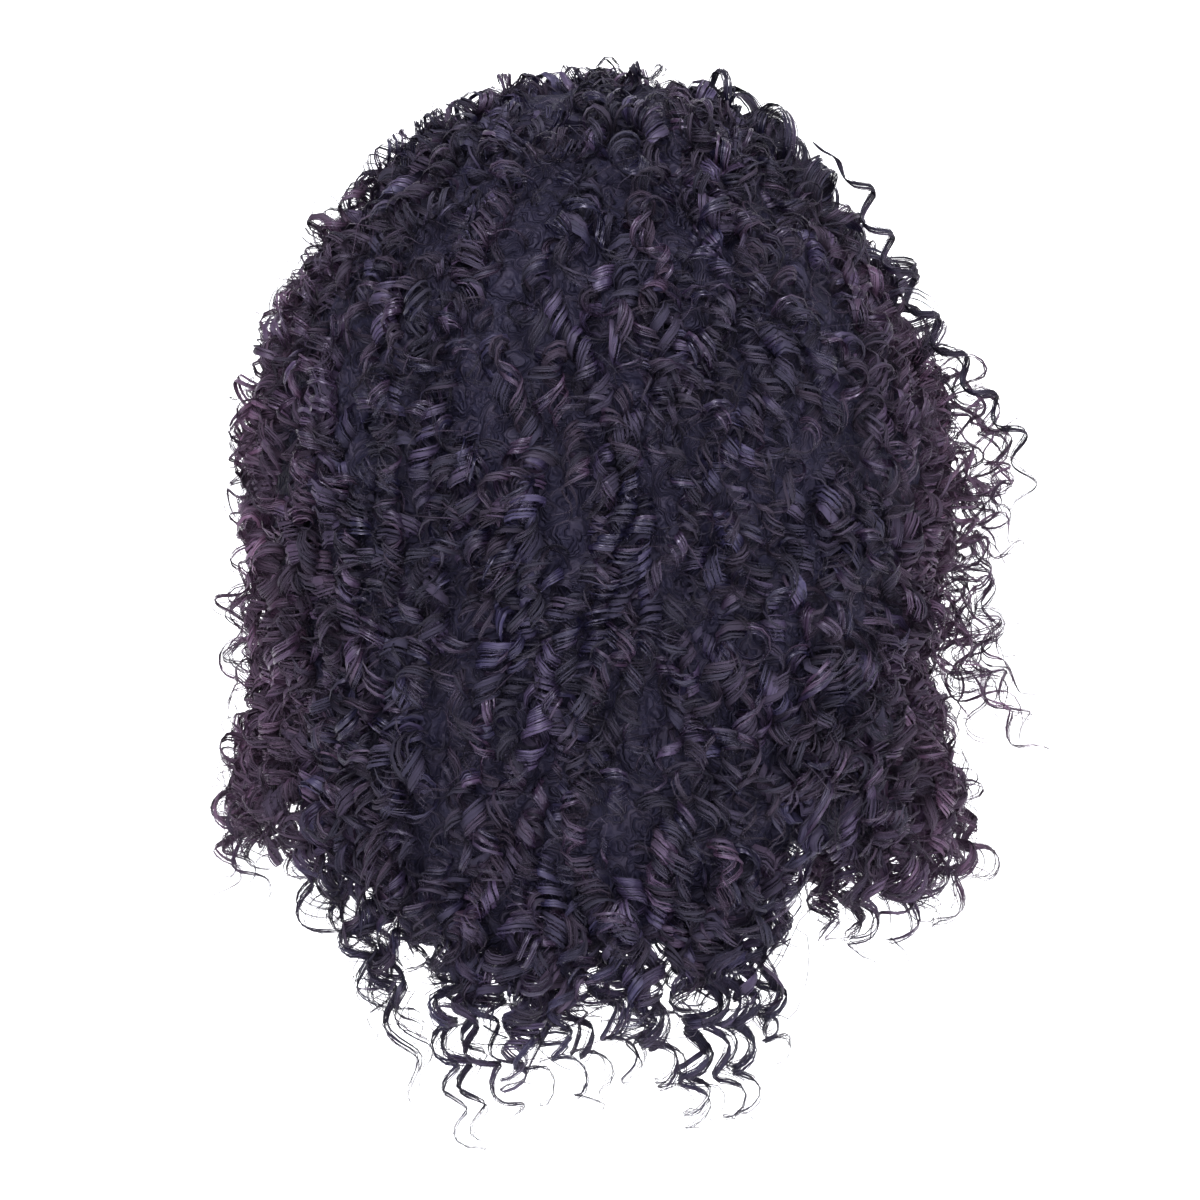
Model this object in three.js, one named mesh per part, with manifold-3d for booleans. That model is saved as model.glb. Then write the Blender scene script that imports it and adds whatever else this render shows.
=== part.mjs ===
// Curly lace front wig in its worn shape: a stretch cap with a lace front panel, dressed all round with
// spiral curls that hang to the shoulders and the upper back.
// Millimetres. The origin is the inside of the crown, where the cap sits on the head.
// +X is the wearer's right, +Y is the way the wearer looks, +Z is up.
import * as THREE from "three";
import { mergeVertices } from "three/addons/utils/BufferGeometryUtils.js";
import Module from "manifold-3d";

const wasm = await Module();
wasm.setup();

// Head form that fills the cap: an ellipsoid with a shorter top half and a longer bottom half.
const HEAD = { halfWidth: 76, halfLength: 96, crownHeight: 85, napeDrop: 112 };
const CAP_WALL = 1.5;
const LACE_WALL = 1.0;
const SEAM_GAP = 0.5;
const HAIR_GAP = 1.2;

// Places round the head are given by turn, in degrees: 0 is the nape, 90 the right ear, 180 the forehead.
// Drop is the angle down from the crown, as seen from the middle of the head.
const CAP_RIM = [
  { turn: 0, drop: 132 },
  { turn: 45, drop: 126 },
  { turn: 70, drop: 111 },
  { turn: 90, drop: 97 },
  { turn: 108, drop: 108 },
  { turn: 127, drop: 90 },
  { turn: 150, drop: 70 },
  { turn: 180, drop: 64 },
];
// The lace panel is this deep, in degrees of drop, behind the hairline.
const LACE_DEPTH = [
  { turn: 0, depth: 0 },
  { turn: 112, depth: 0 },
  { turn: 120, depth: 5 },
  { turn: 138, depth: 20 },
  { turn: 180, depth: 22 },
];
const LACE_END_TURN = 120;
const LACE_BARE_DROP = 4;
// One column of facets on the cap and on the lace, so that their seam edges run side by side.
const CAP_COLUMN_TURN = 8;

// Backing of the hair: a half ellipsoid over the head and a hanging skirt below its widest level.
// Fall runs from 0 at the crown to 1 at the widest level and 2 at the lower edge.
const DOME = { top: 29, base: -130, left: 146, right: 146, back: 150, front: 120 };
const SKIRT_TAPER = 0.05;
// Lower edge of the mass of hair, by turn. The back hangs lower than the sides, with a gap right of it.
const LOWER_EDGE = [
  { turn: -180, z: -268 },
  { turn: -90, z: -266 },
  { turn: -62, z: -276 },
  { turn: -46, z: -308 },
  { turn: -30, z: -338 },
  { turn: 0, z: -346 },
  { turn: 24, z: -342 },
  { turn: 33, z: -300 },
  { turn: 41, z: -262 },
  { turn: 52, z: -288 },
  { turn: 90, z: -276 },
  { turn: 180, z: -268 },
];
// Inner form below the cap: the hair comes in to the neck and spreads again over the shoulders.
const NECK = { drop: 135, flareWidth: 32, flareBack: 26 };
// Free edges are rounded off over this much fall or turn, down to a thin share of the full thickness.
// The rounding takes more from the inside of the hair than from its outside.
const EDGE_ROUND = { fall: 0.4, turn: 30, hairline: 0.6, thin: 0.28, outside: 0.22 };

// Zones of hair, parted by thin gaps.
const CROWN_FALL = 0.26;
const PARTING_FALL = 0.002;
const BACK_TURN = 60;
const FACE_TURN = 127;
const PARTING_TURN = 0.2;

// Wavy locks down the outside: every second column of facets stands out as a lock, and the columns sway.
// Depth is a share of the thickness of the hair, and ragged is how far lock ends hang below the gaps.
const LOCKS = { turn: 10, depth: 0.085, sway: 3.4, waves: 3.5, drift: 1.5, bumps: 9, bumpDepth: 0.4, ragged: 7 };
const HANGING_ROWS = 20;
const FRONT_ROWS = 7;
const CROWN_ROWS = 4;
const CROWN_LOCKS = 18;

// Corkscrew locks that hang out of the lower edge, by turn, with the height of their tips.
const HANGING_LOCKS = [
  { zone: "left_hair", turn: -116, tip: -288 },
  { zone: "left_hair", turn: -95, tip: -291 },
  { zone: "left_hair", turn: -72, tip: -298 },
  { zone: "back_hair", turn: -45, tip: -333 },
  { zone: "back_hair", turn: -34, tip: -364 },
  { zone: "back_hair", turn: -25, tip: -392 },
  { zone: "back_hair", turn: -16, tip: -371 },
  { zone: "back_hair", turn: -5, tip: -368 },
  { zone: "back_hair", turn: 6, tip: -365 },
  { zone: "back_hair", turn: 15, tip: -382 },
  { zone: "back_hair", turn: 24, tip: -373 },
  { zone: "right_hair", turn: 70, tip: -312 },
  { zone: "right_hair", turn: 88, tip: -308 },
  { zone: "right_hair", turn: 106, tip: -292 },
];
const HANGING_FALL = 1.75;
// One long lock has sprung away from the right side. Its axis runs through these points.
const FREE_LOCK_ZONE = "right_hair";
const FREE_LOCK_AXIS = [
  { x: 84, y: -34, z: -2 },
  { x: 116, y: -36, z: -34 },
  { x: 140, y: -34, z: -84 },
  { x: 160, y: -30, z: -120 },
  { x: 169, y: -26, z: -150 },
  { x: 166, y: -24, z: -178 },
];
const CURL = { radius: 6, pitch: 14, thick: 4.5, tipThick: 1.5, rootDepth: 26, steps: 6, sides: 4, ramp: 0.15 };

// Looks of the solids.
const FINISH = {
  cap: { color: 0x1b1a20, roughness: 0.9, metalness: 0 },
  lace: { color: 0x8a6a55, roughness: 0.85, metalness: 0 },
  hair: { color: 0x2c2936, roughness: 0.45, metalness: 0 },
};

const radians = THREE.MathUtils.degToRad;
const mix = THREE.MathUtils.lerp;
const ease = THREE.MathUtils.smoothstep;

// Turn brought into -180..180.
function wrapped(turn) {
  return THREE.MathUtils.euclideanModulo(turn + 180, 360) - 180;
}

// A column of a table at a turn, eased between the two rows on either side of it.
function fromTable(table, column, turn) {
  const next = Math.max(1, table.findIndex((row) => row.turn >= turn));
  const low = table[next - 1];
  const high = table[next];
  return mix(low[column], high[column], ease(turn, low.turn, high.turn));
}

const rimDrop = (turn) => fromTable(CAP_RIM, "drop", Math.abs(wrapped(turn)));
const laceDepth = (turn) => fromTable(LACE_DEPTH, "depth", Math.abs(wrapped(turn)));
const edgeHeight = (turn) => fromTable(LOWER_EDGE, "z", wrapped(turn));

// A point on the head form, grown by a distance.
function headPoint(turn, drop, grow) {
  const { halfWidth, halfLength, crownHeight, napeDrop } = HEAD;
  const [side, level] = [Math.sin(radians(drop)), Math.cos(radians(drop))];
  return new THREE.Vector3(
    (halfWidth + grow) * side * Math.sin(radians(turn)),
    -(halfLength + grow) * side * Math.cos(radians(turn)),
    -crownHeight + ((level > 0 ? crownHeight : napeDrop) + grow) * level,
  );
}

// Outside of the backing.
function outerPoint(turn, fall) {
  const angle = (Math.min(fall, 1) * Math.PI) / 2;
  const below = Math.max(fall - 1, 0);
  const spread = Math.sin(angle) * (1 - SKIRT_TAPER * below);
  const [across, along] = [Math.sin(radians(turn)), -Math.cos(radians(turn))];
  const level = mix(DOME.base, DOME.top, Math.cos(angle));
  return new THREE.Vector3(
    spread * across * (across > 0 ? DOME.right : DOME.left),
    spread * along * (along > 0 ? DOME.front : DOME.back),
    mix(level, edgeHeight(turn), below),
  );
}

// Inside of the backing: over the cap down to the neck, then flaring to the lower edge.
function innerPoint(turn, fall) {
  const below = Math.max(fall - 1, 0);
  const point = headPoint(turn, NECK.drop * Math.min(fall, 1), CAP_WALL + HAIR_GAP);
  point.x += NECK.flareWidth * below * Math.sin(radians(turn));
  point.y -= NECK.flareBack * below * Math.cos(radians(turn));
  point.z = mix(point.z, edgeHeight(turn), below);
  return point;
}

// A point at a share of the way from the inside to the outside of the hair.
function hairPoint(turn, fall, share) {
  return innerPoint(turn, fall).lerp(outerPoint(turn, fall), share);
}

// Share of the thickness left at an inset from a free edge, falling in a quarter round.
function edgeRound(inset, width) {
  const reach = THREE.MathUtils.clamp(1 - inset / width, 0, 1);
  return mix(EDGE_ROUND.thin, 1, Math.sqrt(1 - reach * reach));
}

// Hair behind and beside the face is rounded at its lower edge and at its front edges.
function hangingThickness(turn, fall) {
  const lower = edgeRound(2 - fall, EDGE_ROUND.fall);
  const front = edgeRound(FACE_TURN - Math.abs(turn), EDGE_ROUND.turn);
  return lower * mix(1, front, ease(fall, 0.35, 0.7));
}

// Relief of the locks: out on odd columns and in on even ones, with curls swelling down each column.
function lockRelief(column, v) {
  const swell = 1 - LOCKS.bumpDepth * (1 - Math.sin(2 * Math.PI * LOCKS.bumps * v + 2.1 * column)) * 0.5;
  return LOCKS.depth * (column % 2 ? swell : -swell);
}

// Sway of the columns, in degrees of turn, still at the two side edges of a zone.
function lockSway(u, v) {
  return LOCKS.sway * Math.sqrt(Math.sin(Math.PI * u)) * Math.sin(2 * Math.PI * (LOCKS.waves * v + LOCKS.drift * u));
}

// A geometry with its shared vertices merged and the empty triangles of a pole left out.
function closedGeometry(positions, triangles) {
  const loose = new THREE.BufferGeometry();
  loose.setAttribute("position", new THREE.Float32BufferAttribute(positions, 3));
  loose.setIndex(triangles);
  const merged = mergeVertices(loose, 1e-3);
  const kept = [];
  for (let i = 0; i < merged.index.count; i += 3) {
    const [a, b, c] = merged.index.array.slice(i, i + 3);
    if (a !== b && b !== c && c !== a) kept.push(a, b, c);
  }
  merged.setIndex(kept);
  return merged;
}

// A closed wall between an outer and an inner surface, each a function of two shares from 0 to 1.
// A ring closes on itself all the way round and starts at a pole.
function wallBetween(outer, inner, columns, rows, ring = false) {
  const positions = [];
  const triangles = [];
  const across = ring ? columns : columns + 1;
  for (const surface of [outer, inner])
    for (let row = 0; row <= rows; row++)
      for (let column = 0; column < across; column++)
        positions.push(...surface(column / columns, row / rows).toArray());
  const at = (side, row, column) => (side * (rows + 1) + row) * across + (column % across);
  const quad = (a, b, c, d) => triangles.push(a, b, c, a, c, d);
  for (let column = 0; column < columns; column++) {
    for (let row = 0; row < rows; row++) {
      quad(at(0, row, column), at(0, row + 1, column), at(0, row + 1, column + 1), at(0, row, column + 1));
      quad(at(1, row, column), at(1, row, column + 1), at(1, row + 1, column + 1), at(1, row + 1, column));
    }
    quad(at(0, rows, column), at(1, rows, column), at(1, rows, column + 1), at(0, rows, column + 1));
    if (!ring) quad(at(0, 0, column), at(0, 0, column + 1), at(1, 0, column + 1), at(1, 0, column));
  }
  for (let row = 0; row < rows && !ring; row++) {
    quad(at(0, row, 0), at(1, row, 0), at(1, row + 1, 0), at(0, row + 1, 0));
    quad(at(0, row, columns), at(0, row + 1, columns), at(1, row + 1, columns), at(1, row, columns));
  }
  return closedGeometry(positions, triangles);
}

// A closed tube through stations, each with a centre, an outward direction and a size.
function tubeThrough(stations, sides) {
  const positions = [];
  const triangles = [];
  const last = stations.length - 1;
  stations.forEach(({ centre, outward, size }, i) => {
    const before = stations[Math.max(i - 1, 0)].centre;
    const along = stations[Math.min(i + 1, last)].centre.clone().sub(before).normalize();
    const across = along.clone().cross(outward).normalize();
    const out = across.clone().cross(along);
    for (let side = 0; side < sides; side++) {
      const angle = (2 * Math.PI * side) / sides;
      const corner = centre.clone().addScaledVector(out, size * Math.cos(angle));
      positions.push(...corner.addScaledVector(across, size * Math.sin(angle)).toArray());
    }
  });
  const at = (station, side) => station * sides + (side % sides);
  for (let side = 0; side < sides; side++)
    for (let i = 0; i < last; i++) {
      const [a, b] = [at(i, side), at(i, side + 1)];
      triangles.push(a, b, at(i + 1, side + 1), a, at(i + 1, side + 1), at(i + 1, side));
    }
  for (let side = 1; side + 1 < sides; side++) {
    triangles.push(at(0, 0), at(0, side + 1), at(0, side));
    triangles.push(at(last, 0), at(last, side), at(last, side + 1));
  }
  return closedGeometry(positions, triangles);
}

// A corkscrew round an axis curve, growing from its root to its full radius and thinning to its tip.
function curlLock(axis) {
  const turns = axis.getLength() / CURL.pitch;
  const count = Math.ceil(turns * CURL.steps);
  const stations = [];
  for (let step = 0; step <= count; step++) {
    const t = step / count;
    const angle = 2 * Math.PI * turns * t;
    const along = axis.getTangent(t);
    const side = new THREE.Vector3(0, 1, 0).cross(along).normalize();
    const outward = side.clone().multiplyScalar(Math.cos(angle));
    outward.addScaledVector(along.cross(side), Math.sin(angle));
    const centre = axis.getPoint(t).addScaledVector(outward, CURL.radius * Math.min(1, t / CURL.ramp));
    stations.push({ centre, outward, size: mix(CURL.thick, CURL.tipThick, t * t) });
  }
  return tubeThrough(stations, CURL.sides);
}

// A hanging lock's axis runs straight down the middle of the hair's lower edge.
function hangingAxis({ turn, tip }) {
  const middle = hairPoint(turn, HANGING_FALL, 0.6);
  const top = middle.clone().setZ(edgeHeight(turn) + CURL.rootDepth);
  return new THREE.LineCurve3(top, middle.clone().setZ(tip));
}

function solidOf(geometry) {
  const vertProperties = new Float32Array(geometry.attributes.position.array);
  const triVerts = new Uint32Array(geometry.index.array);
  return new wasm.Manifold(new wasm.Mesh({ numProp: 3, vertProperties, triVerts }));
}

// A backing and its locks fused into one body.
function fused(backing, locks) {
  const solid = locks.reduce((sum, lock) => sum.add(solidOf(lock)), solidOf(backing));
  const { vertProperties, triVerts } = solid.getMesh();
  const geometry = new THREE.BufferGeometry();
  geometry.setAttribute("position", new THREE.BufferAttribute(vertProperties, 3));
  geometry.setIndex(new THREE.BufferAttribute(triVerts, 1));
  geometry.computeVertexNormals();
  return geometry;
}

// Hair between two turns, hanging from the crown's edge to the lower edge.
function hangingHair(zone, fromTurn, toTurn) {
  const columns = 2 * Math.round((toTurn - fromTurn) / LOCKS.turn);
  const surface = (isOuter) => (u, v) => {
    const column = Math.round(u * columns);
    const edges = mix(fromTurn + PARTING_TURN, toTurn - PARTING_TURN, u);
    const turn = edges + (isOuter ? lockSway(u, v) : 0);
    const fall = mix(CROWN_FALL + PARTING_FALL, 2, v);
    const thickness = hangingThickness(turn, fall);
    const outside = 1 - EDGE_ROUND.outside * (1 - thickness);
    const share = isOuter ? outside + thickness * lockRelief(column, v) : outside - thickness;
    const point = hairPoint(turn, fall, share);
    point.z -= LOCKS.ragged * ease(fall, 1.7, 2) * (column % 2 ? 1 : -1);
    return point;
  };
  const curls = HANGING_LOCKS.filter((lock) => lock.zone === zone).map((lock) => curlLock(hangingAxis(lock)));
  if (zone === FREE_LOCK_ZONE) {
    const points = FREE_LOCK_AXIS.map(({ x, y, z }) => new THREE.Vector3(x, y, z));
    curls.push(curlLock(new THREE.CatmullRomCurve3(points)));
  }
  return fused(wallBetween(surface(true), surface(false), columns, HANGING_ROWS), curls);
}

// Hair over the forehead, from the crown's edge forward to the hairline, thinning out where it meets the lace.
function frontHair() {
  const [fromTurn, toTurn] = [FACE_TURN, 360 - FACE_TURN];
  const columns = 2 * Math.round((toTurn - fromTurn) / LOCKS.turn);
  const surface = (isOuter) => (u, v) => {
    const turn = mix(fromTurn + PARTING_TURN, toTurn - PARTING_TURN, u);
    const hairline = (rimDrop(turn) - LACE_BARE_DROP) / NECK.drop;
    const thickness = edgeRound(1 - v, EDGE_ROUND.hairline);
    const share = thickness * (1 + lockRelief(Math.round(u * columns), v));
    return hairPoint(turn, mix(CROWN_FALL + PARTING_FALL, hairline, v), isOuter ? share : 0);
  };
  return wallBetween(surface(true), surface(false), columns, FRONT_ROWS);
}

// Hair on the crown, round the top of the head, with its locks growing out from the middle.
function crownHair() {
  const columns = 2 * CROWN_LOCKS;
  const surface = (isOuter) => (u, v) => {
    const relief = v * lockRelief(Math.round(u * columns), v);
    return hairPoint(360 * u, (CROWN_FALL - PARTING_FALL) * v, isOuter ? 1 + relief : 0);
  };
  return wallBetween(surface(true), surface(false), columns, CROWN_ROWS, true);
}

// Stretch cap: the dome from the crown to its rim, cut back in front for the lace.
function wigCap() {
  const surface = (grow) => (u, v) => {
    const turn = 360 * u;
    return headPoint(turn, v * (rimDrop(turn) - laceDepth(turn)), grow);
  };
  return wallBetween(surface(CAP_WALL), surface(0), 360 / CAP_COLUMN_TURN, 10, true);
}

// Lace front: the band between the cap's front edge and the hairline, from temple to temple.
function laceFront() {
  const columns = (360 - 2 * LACE_END_TURN) / CAP_COLUMN_TURN;
  const seamDrop = THREE.MathUtils.radToDeg(SEAM_GAP / HEAD.crownHeight);
  const surface = (grow) => (u, v) => {
    const turn = mix(LACE_END_TURN, 360 - LACE_END_TURN, u);
    const rim = rimDrop(turn);
    return headPoint(turn, mix(rim - laceDepth(turn) + seamDrop, rim, v), grow);
  };
  return wallBetween(surface(LACE_WALL), surface(0), columns, 3);
}

const wig = new THREE.Group();

function addPiece(name, geometry, finish) {
  const mesh = new THREE.Mesh(geometry, new THREE.MeshStandardMaterial(FINISH[finish]));
  mesh.name = name;
  wig.add(mesh);
}

addPiece("wig_cap", wigCap(), "cap");
addPiece("lace_front", laceFront(), "lace");
addPiece("crown_hair", crownHair(), "hair");
addPiece("front_hair", frontHair(), "hair");
addPiece("left_hair", hangingHair("left_hair", -FACE_TURN, -BACK_TURN), "hair");
addPiece("back_hair", hangingHair("back_hair", -BACK_TURN, BACK_TURN), "hair");
addPiece("right_hair", hangingHair("right_hair", BACK_TURN, FACE_TURN), "hair");

export default wig;
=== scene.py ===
from functools import partial

import bmesh
import bpy
import numpy as np
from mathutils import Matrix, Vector


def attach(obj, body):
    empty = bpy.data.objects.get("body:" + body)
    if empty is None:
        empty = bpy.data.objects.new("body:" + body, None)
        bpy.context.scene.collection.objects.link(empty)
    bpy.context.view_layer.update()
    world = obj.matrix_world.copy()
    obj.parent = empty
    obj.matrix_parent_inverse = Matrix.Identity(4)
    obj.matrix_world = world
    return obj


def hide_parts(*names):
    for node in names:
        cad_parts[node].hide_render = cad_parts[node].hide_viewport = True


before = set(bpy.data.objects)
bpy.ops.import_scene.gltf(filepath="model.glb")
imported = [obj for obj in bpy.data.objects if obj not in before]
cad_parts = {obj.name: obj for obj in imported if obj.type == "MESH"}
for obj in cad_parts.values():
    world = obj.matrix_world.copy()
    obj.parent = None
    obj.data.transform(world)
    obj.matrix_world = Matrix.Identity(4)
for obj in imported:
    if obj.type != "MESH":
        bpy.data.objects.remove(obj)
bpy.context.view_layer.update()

# The cap.
# A stretch net dome that grips the head, with the hair wefts sewn round it in rows.
# Its wall is knitted net, bound at the rim with a flat elastic band and stitched row by row.
HEAD_HALF_WIDTH = 0.076
HEAD_HALF_LENGTH = 0.096
HEAD_TOP = 0.085
HEAD_BOTTOM = 0.112
HEAD_CENTRE = np.array([0, 0, -HEAD_TOP])
CAP_RIM = [(0, 132), (45, 126), (70, 111), (90, 97), (108, 108), (127, 90), (150, 70), (180, 64)]
LACE_DEPTH = [(0, 0), (112, 0), (120, 5), (138, 20), (180, 22)]
CAP_INSIDE = 0.0003
CAP_OUTSIDE = 0.0011
WEFT_RIDGE = 0.0004
WEFT_SPACING_DROP = 7.5
CAP_ROWS = 42
CAP_COLUMNS = 72


def eased(table, turn):
    """A value at a turn: the two nearest rows of a (turn, value) table, mixed by a smooth step."""
    rows = np.array(table, float)
    high = np.clip(np.searchsorted(rows[:, 0], turn), 1, len(rows) - 1)
    low = high - 1
    step = np.clip((turn - rows[low, 0]) / (rows[high, 0] - rows[low, 0]), 0, 1)
    return rows[low, 1] + (rows[high, 1] - rows[low, 1]) * step * step * (3 - 2 * step)


def wrapped(turn):
    """A turn brought into -180..180 degrees."""
    return np.mod(np.asarray(turn, float) + 180, 360) - 180


def rim_drop(turn):
    """How far down the hairline lies at a turn, in degrees from the crown."""
    return eased(CAP_RIM, np.abs(wrapped(turn)))


def cap_edge_drop(turn):
    """How far down the cap's own edge lies, short of the hairline by the depth of the lace."""
    return rim_drop(turn) - eased(LACE_DEPTH, np.abs(wrapped(turn)))


def head_point(turn, drop, grow):
    """A point of the head form: its grown half-axes times the sines and cosines of turn and drop."""
    turn, drop = np.radians(turn), np.radians(drop)
    side, level = np.sin(drop), np.cos(drop)
    height = np.where(level > 0, HEAD_TOP, HEAD_BOTTOM) + grow
    across = (HEAD_HALF_WIDTH + grow) * side * np.sin(turn)
    along = -(HEAD_HALF_LENGTH + grow) * side * np.cos(turn)
    return np.stack(np.broadcast_arrays(across, along, height * level - HEAD_TOP), axis=-1)


def wall_faces(rows, columns, ring):
    """Faces of a closed wall: an outer and an inner grid, and the strips that join their borders."""
    index = np.arange(2 * rows * columns).reshape(2, rows, columns)
    if ring:
        index = np.concatenate([index, index[:, :, :1]], axis=2)
    outer, inner = index
    quads = [
        (outer[:-1, :-1], outer[1:, :-1], outer[1:, 1:], outer[:-1, 1:]),
        (inner[:-1, :-1], inner[:-1, 1:], inner[1:, 1:], inner[1:, :-1]),
        (outer[-1, :-1], inner[-1, :-1], inner[-1, 1:], outer[-1, 1:]),
        (outer[0, :-1], outer[0, 1:], inner[0, 1:], inner[0, :-1]),
    ]
    if not ring:
        quads.append((outer[:-1, 0], inner[:-1, 0], inner[1:, 0], outer[1:, 0]))
        quads.append((outer[:-1, -1], outer[1:, -1], inner[1:, -1], inner[:-1, -1]))
    return np.concatenate([np.stack(corners, axis=-1).reshape(-1, 4) for corners in quads])


def new_piece(name, points, corners, starts, material):
    """An object at the origin, shaded smooth, which rides on the part's only body.

    Corners holds the point at each face corner, and starts the first corner of each face.
    """
    mesh = bpy.data.meshes.new(name)
    mesh.vertices.add(len(points))
    mesh.vertices.foreach_set("co", np.asarray(points, np.float32).ravel())
    mesh.loops.add(len(corners))
    mesh.loops.foreach_set("vertex_index", corners.astype(np.int32))
    mesh.polygons.add(len(starts))
    mesh.polygons.foreach_set("loop_start", starts.astype(np.int32))
    mesh.polygons.foreach_set("use_smooth", np.ones(len(starts), bool))
    mesh.update(calc_edges=True)
    mesh.materials.append(material)
    piece = bpy.data.objects.new(name, mesh)
    bpy.context.collection.objects.link(piece)
    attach(piece, "root")
    return piece


def wall_piece(name, outer, inner, ring, material):
    """A closed wall between two grids of points, with rows that have shrunk to one point merged."""
    points = np.concatenate([outer.reshape(-1, 3), inner.reshape(-1, 3)])
    faces = wall_faces(*outer.shape[:2], ring)
    piece = new_piece(name, points, faces.ravel(), np.arange(0, faces.size, 4), material)
    shared = bmesh.new()
    shared.from_mesh(piece.data)
    bmesh.ops.remove_doubles(shared, verts=shared.verts, dist=1e-6)
    shared.to_mesh(piece.data)
    shared.free()
    return piece


def feed(node, inputs):
    """Gives inputs, by name or number, a fixed value or the (node, output) pair that they come from."""
    for socket, source in inputs.items():
        if isinstance(source, tuple) and isinstance(source[0], bpy.types.Node):
            node.id_data.links.new(source[0].outputs[source[1]], node.inputs[socket])
        else:
            node.inputs[socket].default_value = source


def add_node(nodes, kind, inputs, **settings):
    """A new shader node of a kind, with its settings first and then what feeds its inputs."""
    node = nodes.new("ShaderNode" + kind)
    for label, setting in settings.items():
        setattr(node, label, setting)
    feed(node, inputs)
    return node


def new_material(name):
    """A material, what adds nodes to it, and its Principled shader."""
    material = bpy.data.materials.new(name)
    material.use_nodes = True
    nodes = material.node_tree.nodes
    return material, partial(add_node, nodes), nodes["Principled BSDF"]


def node_group(name, inputs, outputs):
    """A node group with sockets of named kinds, what adds nodes to it, its entry and its exit."""
    group = bpy.data.node_groups.new(name, "ShaderNodeTree")
    for way, sockets in (("INPUT", inputs), ("OUTPUT", outputs)):
        for label, kind in sockets.items():
            group.interface.new_socket(label, in_out=way, socket_type="NodeSocket" + kind)
    ends = (group.nodes.new(f"NodeGroup{end}") for end in ("Input", "Output"))
    return group, partial(add_node, group.nodes), *ends


def net_weave_group():
    """Net weave: threads along the borders of small cells. Hole is 1 between them, Height 1 on them."""
    group, add, entry, leave = node_group(
        "net_weave", {"Vector": "Vector", "Scale": "Float"}, {"Hole": "Float", "Height": "Float"},
    )
    cells = add(
        "TexVoronoi", {"Vector": (entry, "Vector"), "Scale": (entry, "Scale"), "Randomness": 0.35},
        feature="DISTANCE_TO_EDGE",
    )
    hole = add("MapRange", {"Value": (cells, "Distance"), "From Min": 0.06, "From Max": 0.2})
    height = add("Math", {0: 1.0, 1: (hole, "Result")}, operation="SUBTRACT")
    feed(leave, {"Hole": (hole, "Result"), "Height": (height, "Value")})
    return group


net_weave = net_weave_group()


def net_cloth(name, thread, gap, scale, depth, roughness):
    """A knitted net finish: thread colour on the threads, gap colour between them, raised by a bump."""
    material, add, shader = new_material(name)
    place = add("TexCoord", {})
    weave = add("Group", {"Vector": (place, "Object"), "Scale": scale}, node_tree=net_weave)
    worn = add("TexNoise", {"Vector": (place, "Object"), "Scale": scale / 40})
    faded = (*[1.5 * part for part in thread], 1)
    dyed = add("Mix", {"Factor": (worn, "Fac"), "A": (*thread, 1), "B": faded}, data_type="RGBA")
    colour = add("Mix", {"Factor": (weave, "Hole"), "A": (dyed, "Result"), "B": (*gap, 1)}, data_type="RGBA")
    bump = add("Bump", {"Height": (weave, "Height"), "Distance": depth})
    feed(shader, {"Base Color": (colour, "Result"), "Normal": (bump, "Normal")})
    feed(shader, {"Roughness": roughness, "Sheen Weight": 0.15})
    return material


cap_net = net_cloth("cap_net", (0.018, 0.016, 0.021), (0.004, 0.0035, 0.005), 700, 0.0004, 0.85)
cap_share = np.linspace(0, 1, CAP_ROWS)[:, None]
cap_turn = np.linspace(0, 360, CAP_COLUMNS, endpoint=False)
cap_drop = cap_share * cap_edge_drop(cap_turn)
weft_ridge = WEFT_RIDGE * np.cos(np.pi * cap_drop / WEFT_SPACING_DROP) ** 8
cap_outside = head_point(cap_turn, cap_drop, CAP_OUTSIDE + weft_ridge)
cap_inside = head_point(cap_turn, cap_drop, CAP_INSIDE + 0.5 * weft_ridge)
cap = wall_piece("cap_dome", cap_outside, cap_inside, True, cap_net)
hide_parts("wig_cap")

BAND_WIDTH_DROP = 5.5
BAND_SECTION = [
    (0, 0.0002), (0.12, -0.0005), (0.88, -0.0005), (1, 0.0002),
    (1, 0.0012), (0.88, 0.0015), (0.12, 0.0015), (0, 0.0012),
]
BAND_COLUMNS = 180
BAND_RUFFLE = 0.00025
BAND_RUFFLES = 90
elastic = net_cloth("elastic_band", (0.012, 0.011, 0.014), (0.005, 0.0045, 0.006), 1500, 0.0003, 0.7)
band_turn = np.linspace(0, 360, BAND_COLUMNS, endpoint=False)[:, None]
band_across, band_grow = np.array(BAND_SECTION).T
band_ruffle = BAND_RUFFLE * np.sin(np.radians(band_turn) * BAND_RUFFLES)
band_drop = cap_edge_drop(band_turn) - BAND_WIDTH_DROP * band_across
band = head_point(band_turn, band_drop, band_grow + band_ruffle)
band_index = np.arange(band_turn.size * len(BAND_SECTION)).reshape(band_turn.size, -1)
band_next = np.roll(band_index, -1, axis=0)
band_faces = np.stack([
    band_index, np.roll(band_index, -1, axis=1), np.roll(band_next, -1, axis=1), band_next,
], axis=-1).ravel()
band_starts = np.arange(0, band_faces.size, 4)
binding = new_piece("cap_binding", band.reshape(-1, 3), band_faces, band_starts, elastic)


def unit(vectors):
    """Vectors of length one."""
    return vectors / np.maximum(np.linalg.norm(vectors, axis=-1, keepdims=True), 1e-12)


def strips(centre, outward, width, thick):
    """Closed three-cornered strips: at each station of a line, two edges across it and a ridge outside it.

    The arrays hold lines by stations. Across is the line's direction crossed with outward.
    """
    along = unit(np.gradient(centre, axis=1))
    across = unit(np.cross(along, outward))
    out = np.cross(across, along)
    half = (0.5 * width)[..., None] * across
    low = centre - (0.35 * thick)[..., None] * out
    return np.stack([low - half, low + half, centre + (0.65 * thick)[..., None] * out], axis=2)


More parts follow.
